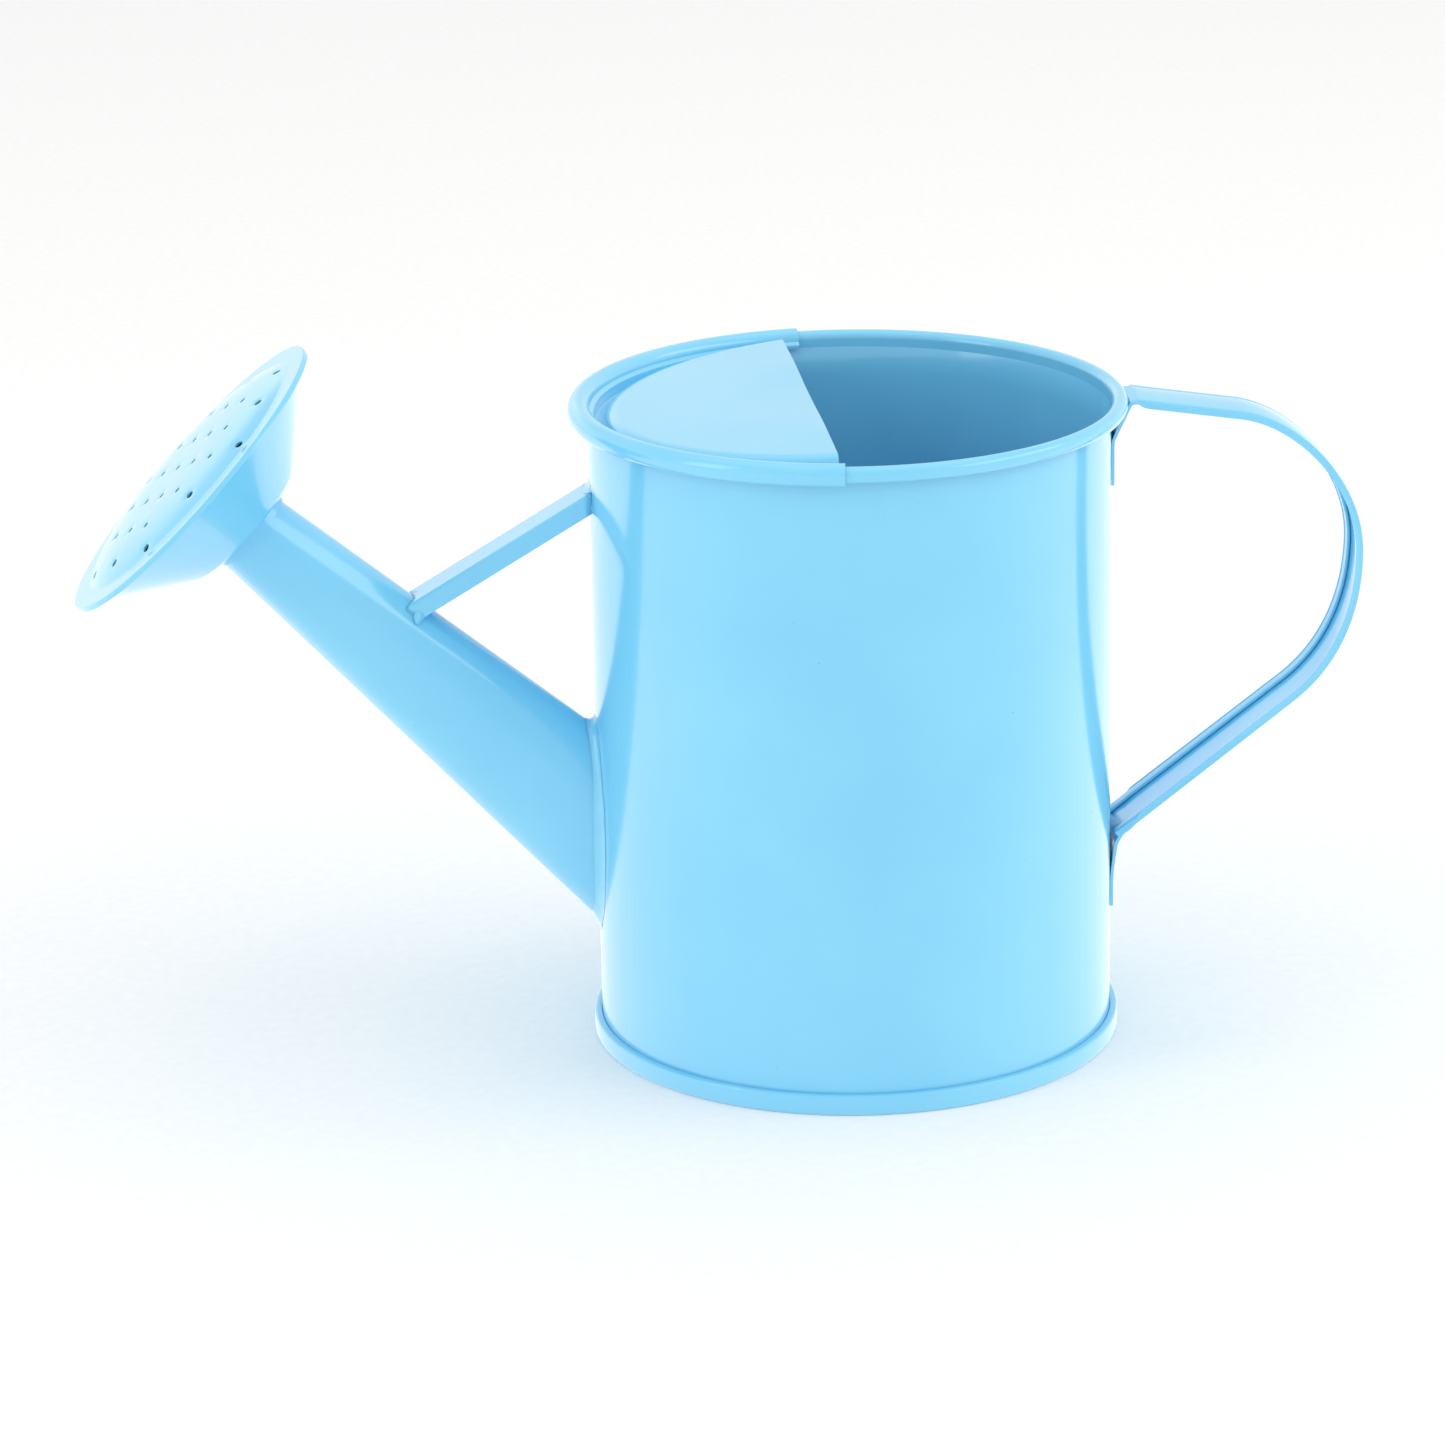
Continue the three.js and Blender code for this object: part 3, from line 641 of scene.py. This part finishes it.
def holes():
    """The centre and radius of each hole: a hexagonal pattern in the middle with a ring round it."""
    inner = [((i - (count - 1) / 2) * HOLE_PITCH, (row - 2) * HOLE_PITCH * math.sqrt(3) / 2, INNER_HOLE)
             for row, count in enumerate(HOLE_ROWS) for i in range(count)]
    outer = []
    for i in range(RING_HOLES):
        radius = RING_RADIUS + RING_STAGGER * (i % 2)
        angle = 2 * math.pi * i / RING_HOLES - RING_TURN
        outer.append((radius * math.sin(angle), radius * math.cos(angle), OUTER_HOLE))
    return np.array(inner + outer)


def rose_face():
    """A disc with punched holes: triangles between the holes' edges and the rim, raised to the dome."""
    punched = holes()
    centres, sizes = punched[:, :2], punched[:, 2]

    def clearance(spots):
        """How far each spot is outside the nearest hole's edge."""
        return np.min(np.hypot(*(np.asarray(spots)[:, None] - centres[None]).transpose(2, 0, 1)) - sizes, 1)

    def circle(centre, radius, count, offset=0.0):
        angles = 2 * math.pi * (np.arange(count) + offset) / count
        return centre + radius * np.stack([np.cos(angles), np.sin(angles)], 1)

    spots, edges = [], []
    ring = 14
    for centre, size in zip(centres, sizes):
        edges += [(len(spots) + k, len(spots) + (k + 1) % ring) for k in range(ring)]
        spots += [*circle(centre, size, ring), *circle(centre, size + 0.2, ring, 0.5),
                  *circle(centre, size + 0.5, ring), *circle(centre, size + 1.0, ring, 0.5)]
    # Rings of points fill the rest, coarse in the middle and fine where the dome falls off.
    edge_radius = ROSE_RADIUS - 0.35
    for radius in [*np.arange(1.5, 26, 1.5), *np.arange(26, 32.4, 0.6), 33.0]:
        count = ROSE_STEPS if radius > 25.9 else int(radius * 4.2)
        row = circle(0, radius, count, int(radius * 2) % 2 / 2)
        spots += list(row[clearance(row) > 1.3])
    rim_start = len(spots)
    edges += [(rim_start + k, rim_start + (k + 1) % ROSE_STEPS) for k in range(ROSE_STEPS)]
    spots += list(circle(0, edge_radius, ROSE_STEPS))
    flat, _, triangles, *_ = geometry.delaunay_2d_cdt([Vector(spot) for spot in spots], edges, [], 0, 1e-6)
    flat = np.array([list(v) for v in flat])
    middles = np.array([flat[list(t)].mean(0) for t in triangles])
    kept = (clearance(middles) > -0.05 * sizes.min()) & (np.hypot(*middles.T) < edge_radius)
    faces = [list(t) for t, keep in zip(triangles, kept) if keep]
    # The punch draws each hole's edge in a little.
    radius = np.hypot(*flat.T)
    dome = DOME_HEIGHT * (1 - np.minimum(radius / DOME_RADIUS, 1) ** DOME_POWER)
    drawn = PUNCH_DRAW * (1 - smooth(clearance(flat)))
    points = [[x, y, z] for (x, y), z in zip(flat, ROSE_DEPTH + dome - drawn)]
    # The edge is turned down round the cup's flange.
    turned_rim = [[0.20, -0.03], [0.30, -0.14], [0.35, -0.30], [0.35, -ROSE_SHEET - 0.6]]
    last = [int(np.argmin(np.hypot(*(flat - spot).T))) for spot in circle(0, edge_radius, ROSE_STEPS)]
    for out, down in turned_rim:
        new = [len(points) + k for k in range(ROSE_STEPS)]
        points += [[x, y, ROSE_DEPTH + down] for x, y in circle(0, edge_radius + out, ROSE_STEPS)]
        for k in range(ROSE_STEPS):
            n = (k + 1) % ROSE_STEPS
            faces.append([last[k], new[k], new[n], last[n]])
        last = new
    made = piece("rose_face_enamelled", on_rose(points), faces, ENAMEL, thickness=-ROSE_SHEET)
    return stands_for(made, "rose_face")


# ---- the brace ----

BRACE_FOLD = 0.9                  # outside radius of its two folds
BRACE_SINK = 0.12                 # how far its lower end sits in the solder on the spout
BRACE_SOLDER = (1.8, 1.1, 0.5)    # half sizes of the two puddles
WALL_SOLDER = 1.35                # leg of the bead at the wall

BRACE_UP = np.array([-math.sin(BRACE_ANGLE), 0.0, math.cos(BRACE_ANGLE)])
BRACE_ALONG = np.array([-math.cos(BRACE_ANGLE), 0.0, -math.sin(BRACE_ANGLE)])


def on_brace(side, up, along):
    return BRACE_ROOT + SIDE * side + BRACE_UP * up + BRACE_ALONG * along


def spout_height(point):
    """How far a point is outside the spout's surface, roughly, in millimetres."""
    d = point - SPOUT_ROOT
    along = d @ ALONG
    x, y = d @ UP, d @ SIDE
    a, b = spout_half(along), SPOUT_WIDTH / 2
    return (math.hypot(x / a, y / b) - 1) * min(a, b)


def brace_ends(side, up):
    """Where a line along the brace leaves the wall and where it reaches the spout."""
    reach = BODY_RADIUS + TOUCH
    wall = -math.sqrt(reach * reach - side * side)
    start = (BRACE_ROOT[0] + BRACE_UP[0] * up - wall) / -BRACE_ALONG[0]
    low, high = 10.0, 70.0
    for _ in range(40):
        middle = (low + high) / 2
        if spout_height(on_brace(side, up, middle)) > -BRACE_SINK:
            low = middle
        else:
            high = middle
    return start, low


def spout_brace():
    half = BRACE_WIDTH / 2
    outside = rounded([[-half, -BRACE_DEPTH], [-half, 0], [half, 0], [half, -BRACE_DEPTH]],
                      BRACE_FOLD, 6)
    inside = rounded([[half - SHEET, -BRACE_DEPTH], [half - SHEET, -SHEET], [-half + SHEET, -SHEET],
                      [-half + SHEET, -BRACE_DEPTH]], 0.45, 4)
    section = respaced(np.concatenate([outside, inside, outside[:1]]), 1.2)[:-1]
    rows = 24
    points = []
    for side, up in section:
        start, end = brace_ends(side, up)
        for t in np.linspace(0, 1, rows):
            points.append(on_brace(side, up, start + (end - start) * t))
    count = len(section)
    faces = grid_faces(count, rows, wrap_rows=True)
    made = piece("spout_brace_enamelled", points, faces, ENAMEL, sharp=45)
    fill_ends(made)
    return stands_for(made, "spout_brace")


def fill_ends(made):
    """Closes a tube's two open ends, where the section is a folded sheet, with faces across the sheet."""
    work = bmesh.new()
    work.from_mesh(made.data)
    bmesh.ops.holes_fill(work, edges=[e for e in work.edges if e.is_boundary], sides=0)
    bmesh.ops.triangulate(work, faces=[f for f in work.faces if len(f.verts) > 4])
    bmesh.ops.recalc_face_normals(work, faces=work.faces)
    work.to_mesh(made.data)
    work.free()


def brace_meets():
    """Where the underside of the brace's flange reaches the spout, on its side."""
    _, end = brace_ends(BRACE_WIDTH / 2, -BRACE_DEPTH + 0.4)
    return end


def puddle(name, node, centre, normal, size, seed):
    """A run of solder that has wetted out over both pieces: a low uneven blob."""
    rings, steps = 14, 28
    normal = np.array(normal) / np.linalg.norm(normal)
    across = np.cross(normal, ALONG)
    across /= np.linalg.norm(across)
    other = np.cross(normal, across)
    points = []
    for r in range(rings + 1):
        fall = math.pi * r / rings
        for k in range(steps):
            a = 2 * math.pi * k / steps
            reach = 1 + 0.08 * math.sin(3 * a + seed) + 0.03 * math.sin(5 * a + 2 * seed)
            flat = math.sin(fall) * reach
            points.append(np.array(centre) + across * flat * size[0] * math.cos(a)
                          + other * flat * size[1] * math.sin(a) + normal * size[2] * math.cos(fall))
    faces = grid_faces(rings + 1, steps, wrap_columns=True)
    made = tidy_normals(piece(name, points, faces, SOLDER, sharp=80))
    return stands_for(made, node)


def brace_solder(sign):
    end = brace_meets()
    centre = on_brace(sign * (BRACE_WIDTH / 2 + 0.1), -BRACE_DEPTH + 0.8, end - 1.0)
    word = "left" if sign < 0 else "right"
    return puddle(f"brace_solder_{word}_run", f"brace_solder_{word}", centre,
                  SIDE * sign * 0.75 + UP * 0.65, BRACE_SOLDER, 1.0 + sign)


def brace_wall_solder():
    """The bead in the corner between the brace's web and the wall."""
    half, steps = BRACE_WIDTH / 2 - 1.0, 30
    points = []
    for k in range(steps + 1):
        y = -half + 2 * half * k / steps
        round_end = math.sqrt(max(1 - (y / (half + 0.05)) ** 2, 0.0))
        size = WALL_SOLDER * round_end + 0.08 * math.sin(2.3 * y) + 0.1
        wall = -math.sqrt(BODY_RADIUS ** 2 - y * y)
        drop = math.tan(BRACE_ANGLE)
        corner = np.array([wall, y, BRACE_ROOT[2] + (wall - BRACE_ROOT[0]) * drop])
        points.append(corner + [0.2, 0, -0.1])
        for t in np.linspace(0, 1, 6):
            outwards = size * (1 - math.sin(t * math.pi / 2))
            upwards = size * (1 - math.cos(t * math.pi / 2))
            points.append(corner + np.array([-outwards, 0, -outwards * drop + upwards + 0.03]))
    faces = grid_faces(steps + 1, 7, wrap_columns=True)
    faces += [list(range(7)), list(range(steps * 7, steps * 7 + 7))[::-1]]
    made = tidy_normals(piece("brace_wall_solder_bead", points, faces, SOLDER, sharp=60))
    return stands_for(made, "brace_wall_solder")


# ---- the handle ----

STRAP_START = np.array([BEAD[0] + 3.4, BEAD[1] + 0.2])
STRAP_TOP_END = np.array([BODY_RADIUS + 26, BODY_HEIGHT - 4.6])
STRAP_APEX = np.array([handle_high[0], BODY_HEIGHT - 34.5])
STRAP_TURN = np.array([BODY_RADIUS + 37, 67.1])
STRAP_FOOT_END = np.array([BODY_RADIUS + 2.6, 40.6])
UPPER_TAB = (BODY_HEIGHT - 18.8, BODY_HEIGHT - 9.8)
LOWER_TAB = (25.3, 31.8)
HEM_WIDTH, HEM_DEPTH = 2.7, 1.6   # the depth is from the strap's outside
HEM_PAST = 1.2                    # how far the hems run past the start of the foot's bend
FOOT_BEND = 2.2                   # rounding of the bend above the lower tab
STRAP_CROWN = 0.35
EDGE_ROLL = 0.75                  # how far the edges roll over towards the hems
WELD_SPACING = 3.1                # from the middle of a tab to each of its two spot welds
WELD_DEPTH = 0.22
WELD_RADIUS = 0.9
BEAD_CLEARANCE = 0.15


def bezier(a, b, c, d, steps):
    return [(1 - t) ** 3 * a + 3 * t * (1 - t) ** 2 * b + 3 * t * t * (1 - t) * c + t ** 3 * d
            for t in np.linspace(0, 1, steps + 1)]


def strap_path():
    """The outside of the strap in the XZ plane, from the rim to the foot, between its two bends."""
    start, top, apex, turn, foot = STRAP_START, STRAP_TOP_END, STRAP_APEX, STRAP_TURN, STRAP_FOOT_END
    return np.array(
        [start + (top - start) * t for t in np.linspace(0, 1, 14)][:-1]
        + bezier(top, top + (top - start) * 0.55, np.array([apex[0], (apex[1] + top[1]) / 2]), apex, 30)[:-1]
        + bezier(apex, np.array([apex[0], apex[1] + (turn[1] - apex[1]) * 0.42]),
                 turn + (turn - foot) * 0.26, turn, 30)[:-1]
        + [turn + (foot - turn) * t for t in np.linspace(0, 1, 20)])


def normals_of(path):
    """The direction to the left of each point's way along a path."""
    ahead = np.gradient(path, axis=0)
    ahead /= np.linalg.norm(ahead, axis=1)[:, None]
    return np.stack([-ahead[:, 1], ahead[:, 0]], 1)


def strap_width(z):
    share = (STRAP_START[1] - z) / (STRAP_START[1] - LOWER_TAB[0])
    return STRAP_TOP + (STRAP_FOOT - STRAP_TOP) * share


def wall_bend(x, y, z):
    """Bends the flat strap round the wall where it lies on it."""
    wall = BODY_RADIUS + GAP + SHEET
    bend = np.clip(1 - (x - wall) / 3, 0, 1)
    return [x - bend * (wall - math.sqrt(wall * wall - y * y)), y, z]


def handle():
    route = strap_path()
    touching = BODY_RADIUS + TOUCH
    around = BEAD_RADIUS + BEAD_CLEARANCE
    under = rounded([
        [touching, UPPER_TAB[0]], [touching, UPPER_TAB[1]],
        *arc(BEAD, around, -40, -12, 2), route[0]], 0.8, 3)
    foot = route[-1]
    outer_foot = BODY_RADIUS + TOUCH + SHEET
    down = rounded([foot, foot + [-1.1, -1.9], [outer_foot, LOWER_TAB[1]], [outer_foot, LOWER_TAB[0]]],
                   FOOT_BEND, 6)
    path = respaced(np.concatenate([under[:-1], route[:-1], down]), 1.1)
    # Towards the inside of the loop.
    inwards = -normals_of(path)
    in_strap = smooth((path[:, 0] - (BODY_RADIUS + 3.2)) / 4)
    across = 25
    rows_out, rows_in = [], []
    for (x, z), (nx, nz), loop in zip(path, inwards, in_strap):
        half = strap_width(z) / 2
        for k in range(across):
            share = -1 + 2 * k / (across - 1)
            y = half * share
            # The strap is crowned a little, and its edges roll over into the hems.
            crown = loop * (STRAP_CROWN * share ** 2 + EDGE_ROLL * smooth((abs(share) - 0.86) / 0.14) ** 2)
            for rows, depth in ((rows_out, 0.0), (rows_in, SHEET)):
                d = crown + depth
                rows.append(wall_bend(x + nx * d, y, z + nz * d))
    count = len(path) * across
    points = np.array(rows_out + rows_in)
    # Two spot welds on each tab: shallow round dimples left by the electrodes.
    for tab in (UPPER_TAB, LOWER_TAB):
        for y in (-WELD_SPACING, WELD_SPACING):
            middle = np.array([BODY_RADIUS, y, (tab[0] + tab[1]) / 2])
            away = np.hypot(points[:, 1] - middle[1], points[:, 2] - middle[2])
            near = points[:, 0] < BODY_RADIUS + 1.5
            dimple = WELD_DEPTH * (1 - smooth((away - WELD_RADIUS) / WELD_RADIUS))
            points[:, 0] -= np.where(near, dimple, 0)
    faces = grid_faces(len(path), across) + [
        f[::-1] for f in grid_faces(len(path), across, start=count)]
    rim = ([k for k in range(across)] + [r * across + across - 1 for r in range(1, len(path))]
           + [(len(path) - 1) * across + k for k in range(across - 2, -1, -1)]
           + [r * across for r in range(len(path) - 2, 0, -1)])
    for a, b in zip(rim, rim[1:] + rim[:1]):
        faces.append([b, a, count + a, count + b])
    # The hems: each edge folded onto the inside, with a round fold. The free edge stands a little off the
    # strap, and they end close to the wall.
    last_step = route[-1] - route[-2]
    hem_route = np.vstack([route, route[-1] + last_step / np.linalg.norm(last_step) * HEM_PAST])
    route_normals = -normals_of(hem_route)
    for sign in (-1, 1):
        start = len(points)
        free_edge = HEM_DEPTH - 0.1
        section = rounded([[0.0, 0.25], [0.0, HEM_DEPTH], [HEM_WIDTH, free_edge],
                           [HEM_WIDTH, free_edge - SHEET], [0.7, SHEET - 0.05]], 0.5, 5)
        hem = []
        for j, ((x, z), (nx, nz)) in enumerate(zip(hem_route, route_normals)):
            half = strap_width(z) / 2
            thin = smooth(min(j, len(hem_route) - 1 - j) / 3) * 0.25 + 0.75
            for inset, depth in section:
                y = sign * (half - 0.06 - inset)
                hem.append(wall_bend(x + nx * depth * thin, y, z + nz * depth * thin))
        points = np.concatenate([points, np.array(hem)])
        wide = len(section)
        faces += grid_faces(len(hem_route), wide, wrap_columns=True, start=start)
        faces.append([start + k for k in range(wide)])
        faces.append([start + (len(hem_route) - 1) * wide + k for k in range(wide)][::-1])
    made = tidy_normals(piece("handle_strap_enamelled", points, faces, ENAMEL, sharp=50))
    return stands_for(made, "handle")


# ---- studio ----

TENT_LIGHT = 0.86                 # of the white all round, as diffuse surfaces see it
LOW_GLOSS = 1.3                   # the same in the gloss, below the horizon
HIGH_GLOSS = 0.9                  # and above it
SIDE_GLOW = 0.7                   # added straight to the left and right
BACK_GLOW = 0.5                   # added behind, on the spout's side


def studio():
    """A seamless white floor. It is left out of the gloss, where the tent's light goes on below it."""
    mesh = bpy.data.meshes.new("studio_floor")
    half, rows = 3.0, 24
    points = [[half * (2 * c / rows - 1), half * (2 * r / rows - 1), 0.0]
              for r in range(rows + 1) for c in range(rows + 1)]
    mesh.from_pydata(points, [], grid_faces(rows + 1, rows + 1))
    mesh.materials.append(studio_paper())
    floor = bpy.data.objects.new("studio_floor", mesh)
    floor.visible_glossy = False
    bpy.context.scene.collection.objects.link(floor)


def light_tent():
    """White all round. In the gloss it is brighter low down, to both sides, and at the back on the left."""
    world = bpy.data.worlds.new("light_tent")
    tree = node_tree(world)
    direction = add(tree, "ShaderNodeTexCoord").outputs["Generated"]
    way = add(tree, "ShaderNodeSeparateXYZ", {"Vector": direction})
    height = add(tree, "ShaderNodeMapRange", {"Value": way.outputs["Z"]},
                 {"From Min": -0.25, "From Max": 0.2, "To Min": LOW_GLOSS, "To Max": HIGH_GLOSS},
                 interpolation_type="SMOOTHSTEP")
    back = add(tree, "ShaderNodeMapRange", {"Value": way.outputs["Y"]},
               {"From Min": 0.5, "From Max": 0.9, "To Max": BACK_GLOW}, interpolation_type="SMOOTHSTEP")
    left = add(tree, "ShaderNodeMapRange", {"Value": way.outputs["X"]},
               {"From Min": 0.1, "From Max": -0.2}, interpolation_type="SMOOTHSTEP")
    above = add(tree, "ShaderNodeMapRange", {"Value": way.outputs["Z"]},
                {"From Min": 0.45, "From Max": 0.25}, interpolation_type="SMOOTHSTEP")
    below = add(tree, "ShaderNodeMapRange", {"Value": way.outputs["Z"]},
                {"From Min": -0.05, "From Max": 0.25}, interpolation_type="SMOOTHSTEP")
    band = add(tree, "ShaderNodeMath", {0: above.outputs["Result"], 1: below.outputs["Result"]},
               operation="MULTIPLY")
    patch = add(tree, "ShaderNodeMath", {0: left.outputs["Result"], 1: band.outputs["Value"]},
                operation="MULTIPLY")
    glow = add(tree, "ShaderNodeMath",
               {0: back.outputs["Result"], 1: patch.outputs["Value"], 2: height.outputs["Result"]},
               operation="MULTIPLY_ADD")
    sides = add(tree, "ShaderNodeMath", {0: way.outputs["X"], 1: way.outputs["X"]}, operation="MULTIPLY")
    gloss = add(tree, "ShaderNodeMath", {0: sides.outputs["Value"], 2: glow.outputs["Value"]}, {1: SIDE_GLOW},
                operation="MULTIPLY_ADD")
    ray = add(tree, "ShaderNodeLightPath")
    # Sockets 0, 2 and 3 of a mix node are its factor and its two numbers.
    strength = add(tree, "ShaderNodeMix", {0: ray.outputs["Is Glossy Ray"], 3: gloss.outputs["Value"]},
                   {2: TENT_LIGHT})
    light = add(tree, "ShaderNodeBackground", {"Strength": strength.outputs[0]}, {"Color": (1, 1, 1, 1)})
    add(tree, "ShaderNodeOutputWorld", {"Surface": light.outputs["Background"]})
    bpy.context.scene.world = world


def soft_box(name, place, size, radiance, tint="#ffffff"):
    """A rectangular lamp of even radiance that faces the can."""
    light = bpy.data.lights.new(name, "AREA")
    light.shape = "RECTANGLE"
    light.size, light.size_y = size
    light.energy = radiance * math.pi * size[0] * size[1]
    light.color = linear(tint)[:3]
    made = bpy.data.objects.new(name, light)
    made.location = place
    target = Vector((AXIS[0] * MM, 0.0, BODY_HEIGHT * MM / 2))
    made.rotation_euler = (target - Vector(place)).to_track_quat("-Z", "Y").to_euler()
    made.visible_camera = False
    bpy.context.scene.collection.objects.link(made)


CAMERA_TURN = math.radians(5.3)   # from straight in front of the can, towards the spout
CAMERA_DISTANCE, CAMERA_HEIGHT = 1078.7, 414.2
CAMERA_PITCH = math.radians(17.965)
CAMERA_ROLL = math.radians(1.093)
CAMERA_LEFT = math.radians(1.395)  # its heading, to the left of the body's axis


def camera():
    """A long lens from a little above, the spout turned slightly towards it."""
    place = np.array([-CAMERA_DISTANCE * math.sin(CAMERA_TURN), -CAMERA_DISTANCE * math.cos(CAMERA_TURN),
                      CAMERA_HEIGHT])
    heading = math.atan2(-place[1], -place[0]) + CAMERA_LEFT
    level = math.cos(CAMERA_PITCH)
    forward = Vector((math.cos(heading) * level, math.sin(heading) * level, -math.sin(CAMERA_PITCH)))
    made = bpy.data.objects.new("camera", bpy.data.cameras.new("camera"))
    made.matrix_world = (Matrix.Translation(Vector(place + AXIS) * MM)
                         @ forward.to_track_quat("-Z", "Y").to_matrix().to_4x4()
                         @ Matrix.Rotation(-CAMERA_ROLL, 4, "Z"))
    made.data.sensor_width = 36.0
    made.data.lens = 139.8
    made.data.clip_end = 20.0
    bpy.context.scene.collection.objects.link(made)
    bpy.context.scene.camera = made


camera()
body_wall()
base_plate()
splash_cover()
spout()
spout_solder()
rose_cup()
rose_face()
spout_brace()
brace_solder(-1)
brace_solder(1)
brace_wall_solder()
handle()
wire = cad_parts["rim_wire"]
wire.data.materials.clear()
wire.data.materials.append(WIRE)
studio()
light_tent()
soft_box("box_left", (-1.3, -0.6, 0.75), (0.5, 0.9), 1.9)
soft_box("box_right", (1.19, -0.39, 0.97), (1.3, 0.5), 2.1, "#fff8ee")
soft_box("box_top", (0.0, 0.1, 1.4), (1.3, 1.3), 0.4)

bpy.context.scene.view_settings.view_transform = "Standard"
